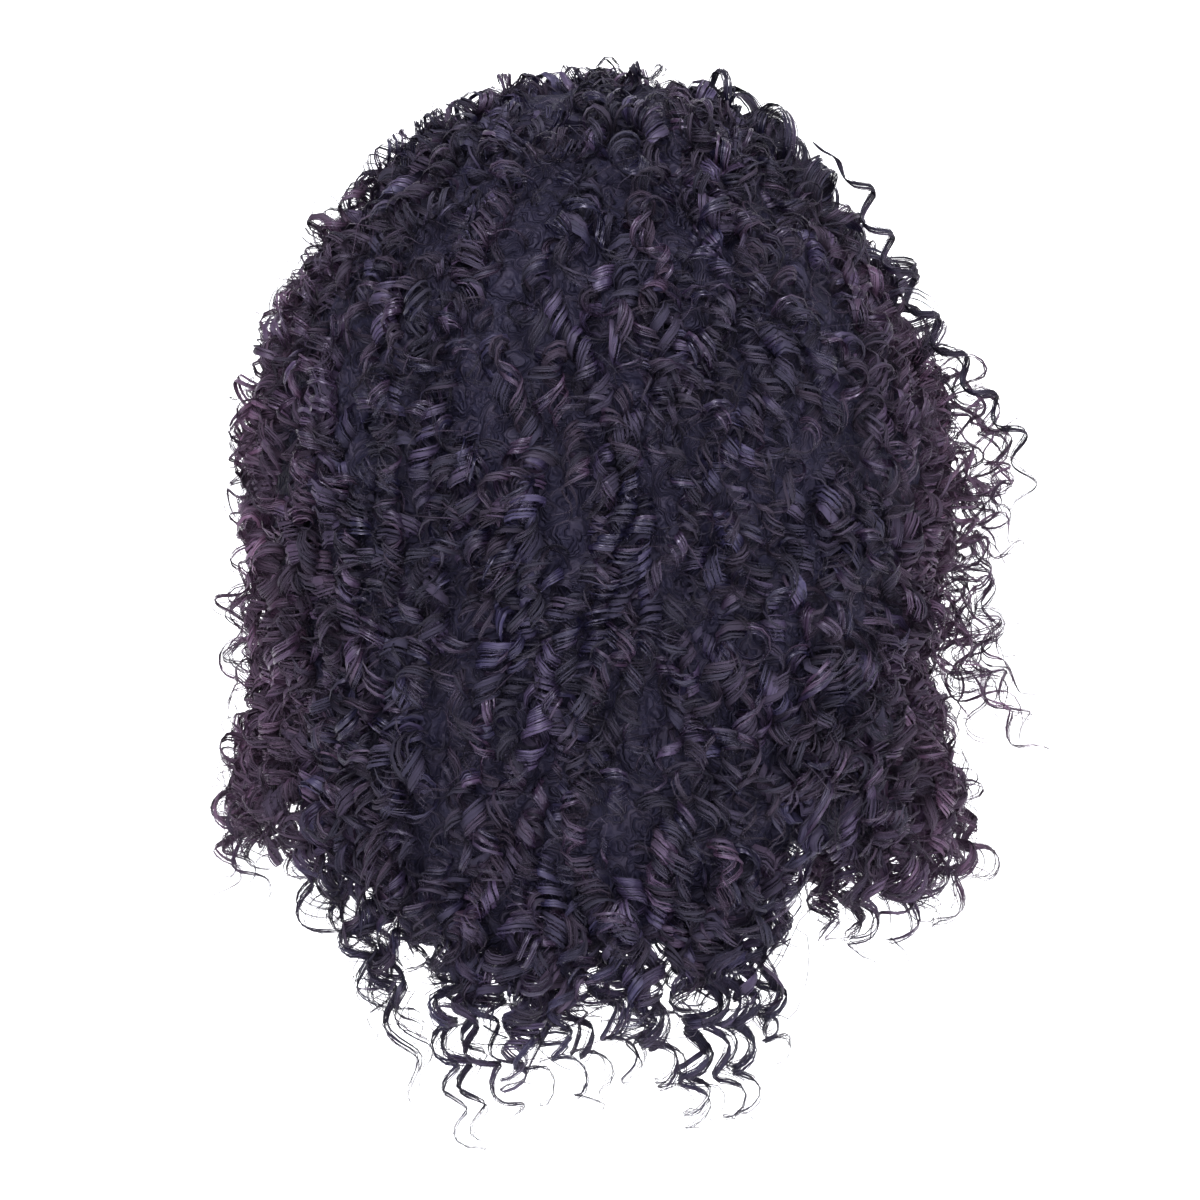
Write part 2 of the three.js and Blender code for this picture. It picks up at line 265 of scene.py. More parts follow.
def threads(line, thick, side):
    """Strips as thick as wide along lines on the head, with their ridge outside at side 1, inside at -1."""
    size = np.full(line.shape[:2], thick)
    return strips(line, side * unit(line - HEAD_CENTRE), size, size)


class StripBundle:
    """Strips gathered for one piece: points, faces, and each point's place on its strip and its tone."""

    def __init__(self):
        self.points, self.sides, self.caps = [], [], []
        self.strand, self.tone, self.uses = [], [], []
        self.count = 0

    def add(self, corners, along, seed, tint=0.0, lock=0.0):
        """Adds strips by lines, stations and corners, as three long sides and a triangle at each end.

        Strand holds across, along and seed. Tone holds tint, share of the length and the lock's seed.
        """
        lines, stations = corners.shape[:2]
        index = self.count + np.arange(lines * stations * 3).reshape(lines, stations, 3)
        turned = np.roll(index, -1, axis=2)
        sides = np.stack([index[:, :-1], turned[:, :-1], turned[:, 1:], index[:, 1:]], axis=-1)
        self.points.append(corners.reshape(-1, 3))
        self.sides.append(sides.reshape(-1, 4))
        self.caps.append(np.concatenate([index[:, 0, ::-1], index[:, -1]]))
        seed, tint, lock = (np.broadcast_to(part, lines)[:, None, None] for part in (seed, tint, lock))
        across = np.array([0.0, 1.0, 0.5])
        share = np.linspace(0, 1, stations)[:, None] * np.ones(3)
        strand = np.broadcast_arrays(across, along[..., None], seed)
        self.strand.append(np.stack(strand, axis=-1).reshape(-1, 3))
        self.tone.append(np.stack(np.broadcast_arrays(tint, share, lock), axis=-1).reshape(-1, 3))
        self.uses.append((lines, stations))
        self.count += index.size

    def piece(self, name, material):
        """One object of all the strips, with a UV cell for each. Both rails of a strip are sharp edges."""
        sides, caps = np.concatenate(self.sides), np.concatenate(self.caps)
        corners = np.concatenate([sides.ravel(), caps.ravel()])
        starts = np.concatenate([4 * np.arange(len(sides)), sides.size + 3 * np.arange(len(caps))])
        piece = new_piece(name, np.concatenate(self.points), corners, starts, material)
        mesh = piece.data
        ends = np.empty(2 * len(mesh.edges), np.int32)
        mesh.edges.foreach_get("vertices", ends)
        first, second = ends.reshape(-1, 2).T
        rails = (np.abs(first - second) == 3) & (first % 3 != 2)
        mesh.edges.foreach_set("use_edge_sharp", rails)
        for label, values in (("strand", self.strand), ("tone", self.tone)):
            layer = mesh.attributes.new(label, "FLOAT_VECTOR", "POINT")
            layer.data.foreach_set("vector", np.concatenate(values).astype(np.float32).ravel())
        mesh.uv_layers.new(name="OFBake").data.foreach_set("uv", self.cells().astype(np.float32).ravel())
        return piece

    def cells(self):
        """UV corners: one cell of the square for each strip, its three sides across and its length up."""
        margin, side_width, length = 0.05, 0.3, 0.9
        total = sum(lines for lines, _ in self.uses)
        grid = int(np.ceil(np.sqrt(total)))
        side_uv, cap_uv, first = [], [], 0
        for lines, stations in self.uses:
            cell = np.arange(first, first + lines)
            corner = np.stack([cell % grid, cell // grid], axis=-1) / grid
            side, station = np.meshgrid(np.arange(3), np.arange(stations - 1))
            u = margin + side_width * (side[..., None] + np.array([0, 1, 1, 0]))
            v = margin + length * (station[..., None] + np.array([0, 0, 1, 1])) / (stations - 1)
            quad = np.stack([u, v], axis=-1)
            side_uv.append((corner[:, None, None, None, :] + quad / grid).reshape(-1, 2))
            ends = np.array([[0.05, 0.0], [0.5, 0.04], [0.95, 0.0]]) / grid
            cap_uv.append((np.concatenate([corner, corner])[:, None, :] + ends).reshape(-1, 2))
            first += lines
        return np.concatenate(side_uv + cap_uv)


STITCH_ROWS = np.arange(15, 126, 2 * WEFT_SPACING_DROP)
STITCH_TURNS = np.linspace(-180, 180, 721)
STITCH_ROOM_DROP = 7.0
STITCH_POINTS = 161
STITCH_SWING_DROP = 0.8
STITCH_THICK = 0.0006
stitch_free = cap_edge_drop(STITCH_TURNS) - STITCH_ROWS[:, None] > STITCH_ROOM_DROP
stitch_half = np.array([np.abs(STITCH_TURNS[free]).max() for free in stitch_free])
stitch_share = np.linspace(-1, 1, STITCH_POINTS)
stitch_turn = stitch_half[:, None] * stitch_share
stitch_zigzag = STITCH_SWING_DROP * np.where(np.arange(STITCH_POINTS) % 2, 1, -1)
stitch_line = head_point(stitch_turn, STITCH_ROWS[:, None] + stitch_zigzag, 0.0)
stitching = StripBundle()
stitch_seed = 0.37 * np.arange(len(STITCH_ROWS))
stitching.add(threads(stitch_line, STITCH_THICK, -1), 0.1 * stitch_share, stitch_seed)
stitch_thread = net_cloth("stitch_thread", (0.03, 0.027, 0.034), (0.02, 0.018, 0.022), 4000, 0.0001, 0.6)
stitches = stitching.piece("weft_stitching", stitch_thread)

# The lace front.
# A band of fine sheer net from temple to temple, sewn to the cap's front edge and cut along the hairline.
# It is knitted from brown thread, so the net is made of threads that cross in diamonds.
LACE_END_TURN = 120
LACE_THREAD = 0.0003
LACE_PITCH_TURN = 1.5
LACE_SLANT_TURN = 20
LACE_GROW = 0.0005
LACE_STATIONS = 16
LACE_HEM_STATIONS = 150
LACE_CROSSINGS = 7
LACE_OVER = 0.00012
LACE_HEMS = (0.0, 0.012, 0.985, 1.0)

lace_thread = net_cloth("lace_thread", (0.16, 0.095, 0.06), (0.1, 0.06, 0.04), 5000, 0.0001, 0.75)


def lace_point(turn, share, grow):
    """A point of the lace band: share 0 is the cap's edge and 1 the hairline at that turn."""
    top = cap_edge_drop(turn) + 0.4
    return head_point(turn, top + (rim_drop(turn) - top) * share, grow)


lace_share = np.linspace(0, 1, LACE_STATIONS)
lace_first = LACE_END_TURN - LACE_SLANT_TURN
lace_start = np.arange(lace_first, 360 - lace_first, LACE_PITCH_TURN)
lace = StripBundle()
for slant in (-1, 1):
    lace_turn = lace_start[:, None] + slant * LACE_SLANT_TURN * (lace_share - 0.5)
    lace_turn = np.clip(lace_turn, LACE_END_TURN, 360 - LACE_END_TURN)
    over = LACE_OVER * slant * np.cos(np.pi * LACE_CROSSINGS * lace_share)
    line = lace_point(lace_turn, lace_share, LACE_GROW + over)
    lace.add(threads(line, LACE_THREAD, 1), 0.03 * lace_share, 0.01 * lace_start)
hem_turn = np.linspace(LACE_END_TURN, 360 - LACE_END_TURN, LACE_HEM_STATIONS)[None, :]
for hem_share in LACE_HEMS:
    hem = lace_point(hem_turn, hem_share, LACE_GROW)
    lace.add(threads(hem, 1.6 * LACE_THREAD, 1), 0.002 * (hem_turn - LACE_END_TURN), hem_share)
lace_net = lace.piece("lace_net", lace_thread)
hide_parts("lace_front")

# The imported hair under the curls.
# Wefts sewn close together fill the space between the cap and the outer curls with a dark mass of hair.
# Each zone is one closed body, set back from the outside so that only curls show, with a rough curly relief.
DOME_TOP = 0.029
DOME_BASE = -0.13
DOME_HALF_WIDTH = 0.146
DOME_BACK = 0.15
DOME_FRONT = 0.12
SKIRT_TAPER = 0.05
LOWER_EDGE = [
    (-180, -0.268), (-90, -0.284), (-62, -0.294), (-50, -0.306), (-41, -0.331), (-34, -0.351),
    (-18, -0.354), (0, -0.349), (26, -0.343), (33, -0.314), (38, -0.264), (42, -0.266),
    (50, -0.307), (62, -0.306), (90, -0.293), (180, -0.268),
]
NECK_DROP = 135
NECK_FLARE_WIDTH = 0.032
NECK_FLARE_BACK = 0.026
INNER_GROW = 0.0027
CROWN_FALL = 0.26
BACK_TURN = 60
FACE_TURN = 127
EDGE_THICK = 0.28
HAIRLINE_INSET_DROP = 4
HAIRLINE_ROUND = 0.6
RIM_ROUND = 0.4
RIM_THINNING = 0.22
PACKED_SETBACK = 0.012
PACKED_INSIDE_SHARE = 0.06
# The packed hair's dark is a lighter blue than the top curls' dark: painted fill light that lifts the shade
# deep in the hair.
PACKED_DARK = (0.0068, 0.0063, 0.0165, 1)
# The second packed colour is a painted highlight for the upper side of each curl.
PACKED_PAINTED_GLINT = (0.024, 0.02, 0.034, 1)
COOL_SHEEN = (0.82, 0.77, 1.0, 1)


def smooth(value, low, high):
    """A smooth step from 0 at low to 1 at high."""
    step = np.clip((value - low) / (high - low), 0, 1)
    return step * step * (3 - 2 * step)


def outer_point(turn, fall):
    """Outside of the hair: a quarter ellipse to fall 1, then straight to the lower edge at fall 2."""
    angle = np.minimum(fall, 1) * np.pi / 2
    below = np.maximum(fall - 1, 0)
    spread = np.sin(angle) * (1 - SKIRT_TAPER * below)
    across, along = np.sin(np.radians(turn)), -np.cos(np.radians(turn))
    level = DOME_BASE + (DOME_TOP - DOME_BASE) * np.cos(angle)
    x = spread * across * DOME_HALF_WIDTH
    y = spread * along * np.where(along > 0, DOME_FRONT, DOME_BACK)
    z = level + (eased(LOWER_EDGE, wrapped(turn)) - level) * below
    return np.stack(np.broadcast_arrays(x, y, z), axis=-1)


def inner_point(turn, fall):
    """Inside of the hair: over the cap to the neck at fall 1, then flaring to the lower edge at fall 2."""
    below = np.maximum(fall - 1, 0)
    point = head_point(turn, NECK_DROP * np.minimum(fall, 1), INNER_GROW)
    point[..., 0] += NECK_FLARE_WIDTH * below * np.sin(np.radians(turn))
    point[..., 1] -= NECK_FLARE_BACK * below * np.cos(np.radians(turn))
    point[..., 2] += (eased(LOWER_EDGE, wrapped(turn)) - point[..., 2]) * below
    return point


def edge_round(inset, width):
    """Thickness left near a free edge, falling in a quarter round from 1 to the thickness of the edge."""
    reach = np.clip(1 - inset / width, 0, 1)
    return EDGE_THICK + (1 - EDGE_THICK) * np.sqrt(1 - reach * reach)


def hairline_fall(turn):
    """Fall at which the front hair ends on the lace."""
    return (rim_drop(turn) - HAIRLINE_INSET_DROP) / NECK_DROP


def dressed_share(turn, fall):
    """Share of the way from inside to outside to the dressed surface: full, but thin above the hairline."""
    way = (fall - CROWN_FALL) / np.maximum(hairline_fall(turn) - CROWN_FALL, 0.05)
    front = edge_round(1 - np.clip(way, 0, 1), HAIRLINE_ROUND)
    rim = 1 - RIM_THINNING * (1 - edge_round(2 - np.clip(fall, 0, 2), RIM_ROUND))
    face = smooth(np.abs(wrapped(turn)), 122, 138)
    return rim + (front - rim) * face


def dressed_point(turn, fall, depth):
    """A point at a depth under the dressed surface, and the direction out of the hair there."""
    inner, outer = inner_point(turn, fall), outer_point(turn, fall)
    skin = inner + (outer - inner) * dressed_share(turn, fall)[..., None]
    out = unit(outer - inner)
    return skin - out * np.asarray(depth)[..., None], out


def curly_relief(turn, fall):
    """Relief of packed curls: three sets of waves at cross angles, with their phases bent by each other."""
    first = np.sin(0.46 * turn + 2.2 * np.sin(11 * fall) + 1.3)
    second = np.sin(44 * fall + 0.23 * turn + 1.5 * np.sin(0.17 * turn))
    third = np.sin(0.93 * turn - 31 * fall)
    return 0.0012 * first + 0.0016 * second + 0.0009 * third


def dressing(turn, fall):
    """How far the hair is dressed out or in, as bell curves over turn and fall.

    The crown is lifted, the right shoulder and both sides are pressed in, and the lower corners flare.
    """
    turn = wrapped(turn)
    crown = 0.009 * (1 - smooth(fall, 0.08, 0.45))
    shoulder = -0.017 * np.exp(-((turn - 85) / 34) ** 2 - ((fall - 0.56) / 0.26) ** 2)
    side = np.exp(-((np.abs(turn) - 90) / 26) ** 2 - ((fall - 1.3) / 0.36) ** 2)
    corners = np.exp(-((np.abs(turn) - 88) / 26) ** 2) * smooth(fall, 1.4, 2.0)
    pressed = np.where(turn > 0, -0.015, -0.004) * side
    flared = np.where(turn > 0, 0.012, 0.016) * corners
    return crown + shoulder + pressed + flared


def packed_wall(turn, fall, thin):
    """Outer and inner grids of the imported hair: set back by a fixed depth, and thinned towards free edges."""
    inner, outer = inner_point(turn, fall), outer_point(turn, fall)
    share = dressed_share(turn, fall)
    full = np.linalg.norm(outer - inner, axis=-1) * share
    depth = np.minimum(PACKED_SETBACK - dressing(turn, fall), 0.45 * full)
    depth = depth + curly_relief(turn, fall) * np.minimum(1, full / 0.03)
    outside = share - depth / full * share
    inside = PACKED_INSIDE_SHARE + (outside - PACKED_INSIDE_SHARE) * 0.5 * (1 - thin)
    outside = outside - (outside - inside) * 0.25 * (1 - thin)
    reach = outer - inner
    return inner + reach * outside[..., None], inner + reach * inside[..., None]


def hair_fibre_group():
    """Hair fibre: noise stretched along a strand, and a slower noise on the lock's own coordinates.

    Streak is a mask from dark to light fibres, and Height is the same noise as relief.
    Gloss marks the stretches of a lock that lie smooth enough to shine; the curl finish also paints a highlight
    into their colour.
    """
    group, add, entry, leave = node_group(
        "hair_fibre", {"Strand": "Vector", "Lock": "Vector"},
        {"Streak": "Float", "Height": "Float", "Gloss": "Float"},
    )
    fibres = add("TexNoise", {"Vector": (entry, "Strand"), "Scale": 1.0, "Detail": 0.0})
    streak = add("MapRange", {"Value": (fibres, "Fac"), "From Min": 0.33, "From Max": 0.68})
    waves = add("TexNoise", {"Vector": (entry, "Lock"), "Scale": 1.0, "Detail": 0.0})
    gloss = add("MapRange", {"Value": (waves, "Fac"), "From Min": 0.45, "From Max": 0.63})
    feed(leave, {"Streak": (streak, "Result"), "Height": (fibres, "Fac"), "Gloss": (gloss, "Result")})
    return group


hair_fibre = hair_fibre_group()


def packed_hair_material():
    """Packed hair: cells the size of a curl, each filled with rings of fibres, with a painted highlight on its
    upper side.
    """
    material, add, shader = new_material("packed_hair")
    place = add("TexCoord", {})
    swirl = add("TexNoise", {"Vector": (place, "Object"), "Scale": 110.0, "Detail": 2.0})
    bend = add(
        "VectorMath", {0: (swirl, "Color"), 1: (0.012, 0.012, 0.012), 2: (place, "Object")},
        operation="MULTIPLY_ADD",
    )
    curl = add("TexVoronoi", {"Vector": (bend, "Vector"), "Scale": 92.0})
    offset = add("VectorMath", {0: (bend, "Vector"), 1: (curl, "Position")}, operation="SUBTRACT")
    rise = add("SeparateXYZ", {"Vector": (offset, "Vector")})
    ring = add("CombineXYZ", {"X": (curl, "Distance"), "Y": (rise, "X"), "Z": (curl, "Color")})
    stretch = add("Mapping", {"Vector": (ring, "Vector"), "Scale": (14, 90, 50)})
    fibre = add("Group", {"Strand": (stretch, "Vector")}, node_tree=hair_fibre)
    # Painted highlight: fibres on the upper side of each curl cell are mixed towards the light colour.
    upper_highlight_mask = add("MapRange", {"Value": (rise, "Z"), "From Min": -0.001, "From Max": 0.005, "To Min": 0.3})
    painted_glint = add("Math", {0: (fibre, "Streak"), 1: (upper_highlight_mask, "Result")}, operation="MULTIPLY")
    colour = add("Mix", {"Factor": (painted_glint, "Value"), "A": PACKED_DARK, "B": PACKED_PAINTED_GLINT}, data_type="RGBA")
    dome = add("Math", {0: (curl, "Distance"), 1: -2.2, 2: (fibre, "Height")}, operation="MULTIPLY_ADD")
    bump = add("Bump", {"Height": (dome, "Value"), "Strength": 0.9, "Distance": 0.004})
    feed(shader, {"Base Color": (colour, "Result"), "Normal": (bump, "Normal")})
    feed(shader, {"Roughness": 0.6, "Specular IOR Level": 0.18, "Specular Tint": COOL_SHEEN})
    return material


packed_hair = packed_hair_material()
ZONES = ["crown", "front", "left", "back", "right"]
PACKED_LOW_FALL = 1.75
PACKED_ROWS = 58
PACKED_COLUMN_TURN = 1.9
SIDE_TURN = FACE_TURN - 4
HANGING_ZONES = {
    "left": (-SIDE_TURN, -BACK_TURN), "back": (-BACK_TURN, BACK_TURN), "right": (BACK_TURN, SIDE_TURN),
}
FRONT_ROWS = 18
FRONT_COLUMNS = 54
CROWN_ROWS = 12
CROWN_COLUMNS = 72
for zone, (first_turn, last_turn) in HANGING_ZONES.items():
    columns = int((last_turn - first_turn) / PACKED_COLUMN_TURN)
    turn = np.linspace(first_turn, last_turn, columns)
    fall = np.linspace(CROWN_FALL, PACKED_LOW_FALL, PACKED_ROWS)[:, None]
    thin = edge_round(PACKED_LOW_FALL - fall, 0.35)
    thin = thin * np.where(zone == "back", 1, edge_round(SIDE_TURN - np.abs(turn), 22))
    wall_piece(f"{zone}_packed_hair", *packed_wall(turn, fall, thin), False, packed_hair)
front_turn = np.linspace(FACE_TURN, 360 - FACE_TURN, FRONT_COLUMNS)
front_share = np.linspace(0, 1, FRONT_ROWS)[:, None]
front_fall = CROWN_FALL + (hairline_fall(front_turn) - 0.03 - CROWN_FALL) * front_share
front_wall = packed_wall(front_turn, front_fall, edge_round(1 - front_share, 0.5))
wall_piece("front_packed_hair", *front_wall, False, packed_hair)
crown_turn = np.linspace(0, 360, CROWN_COLUMNS, endpoint=False)
crown_fall = np.linspace(0.001, CROWN_FALL, CROWN_ROWS)[:, None]
crown_wall = packed_wall(crown_turn, crown_fall, 1.0)
wall_piece("crown_packed_hair", *crown_wall, True, packed_hair)
for zone in ZONES:
    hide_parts(f"{zone}_hair")

# The curls.
# Spiral locks of hair, each a ribbon of strands wound like a corkscrew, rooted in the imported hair.
# They run down the fall of the head in loose waves, and end in thin tips all over the outside.
rng = np.random.default_rng(11)
LOCK_LENGTH = (0.048, 0.088)
COIL_RADIUS = (0.0035, 0.0054)
COIL_PITCH = (0.0115, 0.016)
TIP_ROOM = (-0.17, -0.01)
SWAY = 0.006
STRAY_SLIDE, WAVE_SLIDE = 0.0005, 0.0014
STRAY_SWELL, WAVE_SWELL = 0.08, 0.14
STRAY_ANGLE, WAVE_ANGLE = 0.14, 0.3
STRIP_LEAST_THICK = 0.00015
STRIP_THICK_SHARE = 0.16
UNDER_DEPTHS = [(0.018, 0.022), (0.0075, 0.0125), (0.006, 0.012)]
TOP_DEPTHS = [(0.012, 0.019), (0.0015, 0.0095), (-0.004, 0.008)]


def fall_reach(turn, fall):
    """Metres of hair surface for each unit of fall."""
    return np.linalg.norm(outer_point(turn, fall + 0.01) - outer_point(turn, fall - 0.01), axis=-1) / 0.02


def root_places(step, spacing, first_fall, last_fall):
    """Roots over the head: rows one step apart down the fall, roots one spacing apart in each, all jittered.

    Past the face turn, roots end a little above the hairline.
    """
    turns, falls = [], []
    fall = first_fall
    while fall < last_fall:
        ring = outer_point(np.linspace(-180, 180, 73), fall)
        length = np.linalg.norm(np.diff(ring, axis=0), axis=-1).sum()
        count = max(4, int(length / spacing))
        turn = -180 + 360 * (np.arange(count) + rng.uniform(0, 1) + rng.uniform(-0.35, 0.35, count)) / count
        drop = fall + rng.uniform(-0.45, 0.45, count) * step / fall_reach(turn, fall)
        turns.append(wrapped(turn))
        falls.append(np.maximum(drop, 0.01))
        fall += step / fall_reach(0.0, fall)
    turn, fall = np.concatenate(turns), np.concatenate(falls)
    kept = np.where(np.abs(turn) > FACE_TURN, fall < hairline_fall(turn) - 0.04, fall < 1.8)
    return turn[kept], fall[kept]


def zone_of(turn, fall):
    """Name of the zone that each root is in."""
    side = np.where(np.abs(turn) < BACK_TURN, "back", np.where(turn > 0, "right", "left"))
    side = np.where(np.abs(turn) > FACE_TURN, "front", side)
    return np.where(fall < CROWN_FALL, "crown", side)


def draw_locks(
    places, depths, length=LOCK_LENGTH, drift=3.5, radius=COIL_RADIUS, pitch=COIL_PITCH, edge=TIP_ROOM,
):
    """Random sizes of locks at given roots.

    Locks over the forehead sweep to the sides, and tips stop near the lower edge. Neighbours coil nearly
    in step: the hand and the pitch go by patches, and the phase by the way down from the crown.
    """
    turn, fall = places
    count = len(turn)
    zone = zone_of(turn, fall)
    front = zone == "front"
    long = rng.uniform(*length, count)
    looser = np.where(zone == "crown", 2.4, 1)
    lean = 5 * np.sin(np.radians(3 * turn) + 5 * fall) + looser * rng.normal(0, drift, count)
    lean = np.where(front, -np.sign(turn) * rng.uniform(14, 34, count), lean)
    long = np.where(front, 0.6 * long, long)
    bunch = 0.05 * np.sin(np.radians(30 * turn) + 1.7 * np.sin(np.radians(9 * turn)))
    room = np.maximum(2 + rng.uniform(*edge, count) + bunch - fall, 0.1)
    long = np.minimum(long, room * fall_reach(turn, fall))
    patch = np.sin(np.radians(5 * turn) + 3 * fall) + np.sin(7 * fall - np.radians(4 * turn) + 1)
    hand = np.where(patch + rng.normal(0, 0.6, count) > 0, 1.0, -1.0)
    slow = np.sin(np.radians(6 * turn) + 4 * fall) + rng.normal(0, 0.4, count)
    pitches = np.mean(pitch) + 0.5 * (pitch[1] - pitch[0]) * np.clip(slow, -1, 1)
    way = fall_reach(turn, fall) * fall
    # Locks at the sides turn burgundy and lighter: partly their own tone, partly a painted rim light, faded out
    # towards the face.
    rosy_and_painted_rim = 0.75 * smooth(np.abs(turn), 38, 88) * smooth(fall, 0.15, 0.8)
    rosy_and_painted_rim = rosy_and_painted_rim * (1 - 0.6 * smooth(np.abs(turn), 92, 126))
    return {
        "turn": turn, "fall": fall, "zone": zone, "length": long, "drift": lean,
        "depths": [rng.uniform(*limits, count) + 0.004 * front for limits in depths],
        "sway": rng.uniform(0, 2 * np.pi, (count, 2)),
        "radius": rng.uniform(*radius, count) * np.where(front, 0.8, 1), "pitch": pitches, "hand": hand,
        "phase": hand * 2 * np.pi * way / np.mean(pitch) + rng.normal(0, 0.9, count),
        "tint": np.clip(0.6 * rng.beta(1.0, 6.0, count) + rosy_and_painted_rim, 0, 1), "seed": rng.uniform(0, 1, count),
    }


def clumps(turn, fall):
    """How far clumps of curls stand out: two crossed sets of slow waves, which fade out at the crown."""
    first = np.sin(np.radians(22 * turn) + 2.0 * np.sin(9 * fall) + 0.6)
    second = np.sin(33 * fall + 1.8 * np.sin(np.radians(7 * turn)) + 2.1)
    return 0.0022 * (first + second) * smooth(fall, 0.08, 0.4)


def lock_axis(locks, share):
    """Axis of each lock: down the fall for its length, drifting in turn, with a slow sway.

    Its depth goes from the root's to the middle's to the tip's, along smooth steps.
    """
    turn, fall, length, drift = (locks[part][:, None] for part in ("turn", "fall", "length", "drift"))
    sway = locks["sway"][:, :, None]
    ring = np.maximum(np.linalg.norm(outer_point(turn, fall)[..., :2], axis=-1), 0.05)
    wave = SWAY * (np.sin(sway[:, 0] + 6.5 * share) - np.sin(sway[:, 0]))
    path_turn = turn + drift * share + np.degrees(wave / ring)
    path_fall = fall + length * share / fall_reach(turn, fall)
    root, middle, tip = (part[:, None] for part in locks["depths"])
    depth = root + (middle - root) * smooth(share, 0, 0.25) + (tip - middle) * smooth(share, 0.55, 1)
    depth = depth + 0.003 * np.sin(sway[:, 1] + 7 * share)
    depth = depth - clumps(path_turn, path_fall) - dressing(path_turn, path_fall)
    return dressed_point(path_turn, path_fall, depth)


def coil(axis, out, radius, angle, slide):
    """Centre line wound round an axis: moved out by the radius at an angle, and slid along the axis."""
    along = unit(np.gradient(axis, axis=1))
    side = unit(np.cross(along, out))
    lift = np.cross(side, along)
    radial = np.cos(angle)[..., None] * lift + np.sin(angle)[..., None] * side
    return axis + radius[..., None] * radial + slide[..., None] * along, radial


def wind(bundles, locks, strands, ribbon, width, stations, stray=1.0, shortest=0.84, axis_of=lock_axis):
    """Winds each lock from flat strips side by side in a ribbon, each straying and ending in a thin tip."""
    count = len(locks["length"])
    base_radius, phase, hand = (locks[part][:, None] for part in ("radius", "phase", "hand"))
    turns = (locks["length"] / locks["pitch"])[:, None]
    for place in np.linspace(-0.5, 0.5, strands) if strands > 1 else [0.0]:
        cut = rng.uniform(shortest, 1, (count, 1))
        share = cut * np.linspace(0, 1, stations)
        axis, out = axis_of(locks, share)
        wander = rng.uniform(0, 2 * np.pi, (count, 3))[:, :, None]
        looser = stray * smooth(share, 0.1, 1)
        narrowing = 1 - 0.6 * smooth(share, 0.4, 1)
        slide = ribbon * place * narrowing + STRAY_SLIDE * stray * rng.normal(0, 1, (count, 1))
        slide = slide + WAVE_SLIDE * looser * np.sin(wander[:, 0] + 5 * share)
        swell = 1 + STRAY_SWELL * stray * rng.normal(0, 1, (count, 1))
        swell = swell + WAVE_SWELL * looser * np.sin(wander[:, 1] + 6.5 * share)
        radius = base_radius * smooth(share, 0, 0.14) * swell
        angle = phase + hand * 2 * np.pi * turns * share + STRAY_ANGLE * stray * rng.normal(0, 1, (count, 1))
        angle = angle + WAVE_ANGLE * looser * np.sin(wander[:, 2] + 4 * share)
        line, radial = coil(axis, out, radius, angle, slide)
        taper = (0.6 + 0.4 * smooth(share, 0, 0.15)) * (1 - 0.85 * smooth(share / cut, 0.7, 1))
        size = rng.uniform(*width, (count, 1)) * taper
        corners = strips(line, radial, size, STRIP_LEAST_THICK + STRIP_THICK_SHARE * size)
        along, seed = locks["length"][:, None] * share, rng.uniform(0, 1, count)
        tint = np.clip(locks["tint"] + rng.normal(0, 0.08, count), 0, 1)
        for zone, bundle in bundles.items():
            here = locks["zone"] == zone
            if here.any():
                bundle.add(corners[here], along[here], seed[here], tint[here], locks["seed"][here])


def joined(*places):
    """Several sets of roots as one."""
    return tuple(np.concatenate(part) for part in zip(*places))


def rooted(rows):
    """Roots from three sets of rows: of the crown, of the whole head and of the forehead alone."""
    crown, head, (turn, fall) = (root_places(*row) for row in rows)
    forehead = np.abs(turn) >= FACE_TURN
    return joined(crown, head, (turn[forehead], fall[forehead]))


# Rows of roots as step, spacing, first fall and last fall.
UNDER_ROWS = [(0.03, 0.017, 0.02, 0.24), (0.042, 0.017, 0.26, 1.8), (0.026, 0.017, 0.27, 0.6)]
TOP_ROWS = [(0.022, 0.013, 0.02, 0.24), (0.03, 0.0138, 0.26, 1.8), (0.0165, 0.011, 0.27, 0.6)]
FINE = (0.0004, 0.0006)
TOP_RIBBON = {"strands": 3, "ribbon": 0.0048, "width": (0.0022, 0.0033), "stations": 40, "stray": 1.2}
under = {zone: StripBundle() for zone in ZONES}
curls = {zone: StripBundle() for zone in ZONES}
under_locks = draw_locks(rooted(UNDER_ROWS), UNDER_DEPTHS, drift=6.0)
wind(under, under_locks, strands=2, ribbon=0.0058, width=(0.0044, 0.0058), stations=34)
wind(curls, draw_locks(rooted(TOP_ROWS), TOP_DEPTHS), **TOP_RIBBON)

# The locks over the crown, the face edge and the temples.
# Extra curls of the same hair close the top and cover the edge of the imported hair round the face.
CROWN_LOCKS = 18
crown_roots = (rng.uniform(-180, 180, CROWN_LOCKS), rng.uniform(-0.18, -0.03, CROWN_LOCKS))
crown_locks = draw_locks(crown_roots, [(0.016, 0.02), (0.01, 0.015), (0.004, 0.01)])
wind(curls, crown_locks, **TOP_RIBBON)

RIM_LOCKS = 64
rim_side = rng.choice([-1.0, 1.0], RIM_LOCKS)
rim_roots = (rim_side * rng.uniform(122.5, 126.8, RIM_LOCKS), rng.uniform(0.5, 1.75, RIM_LOCKS))
rim_locks = draw_locks(rim_roots, [(0.004, 0.044)] * 3, drift=2.0)
rim_locks["drift"] = rim_side * rng.uniform(-1.0, 2.0, RIM_LOCKS)
wind(under, rim_locks, strands=3, ribbon=0.004, width=(0.0022, 0.0034), stations=40)
TEMPLE_LOCKS = 26
temple_turn = rng.choice([-1.0, 1.0], TEMPLE_LOCKS) * rng.uniform(127.5, 152, TEMPLE_LOCKS)
temple_fall = hairline_fall(temple_turn) - rng.uniform(0.02, 0.16, TEMPLE_LOCKS)
temple_locks = draw_locks((temple_turn, temple_fall), [(0.008, 0.014), (-0.001, 0.005), (0.000, 0.006)])
wind(under, temple_locks, strands=3, ribbon=0.004, width=(0.0022, 0.0032), stations=30)

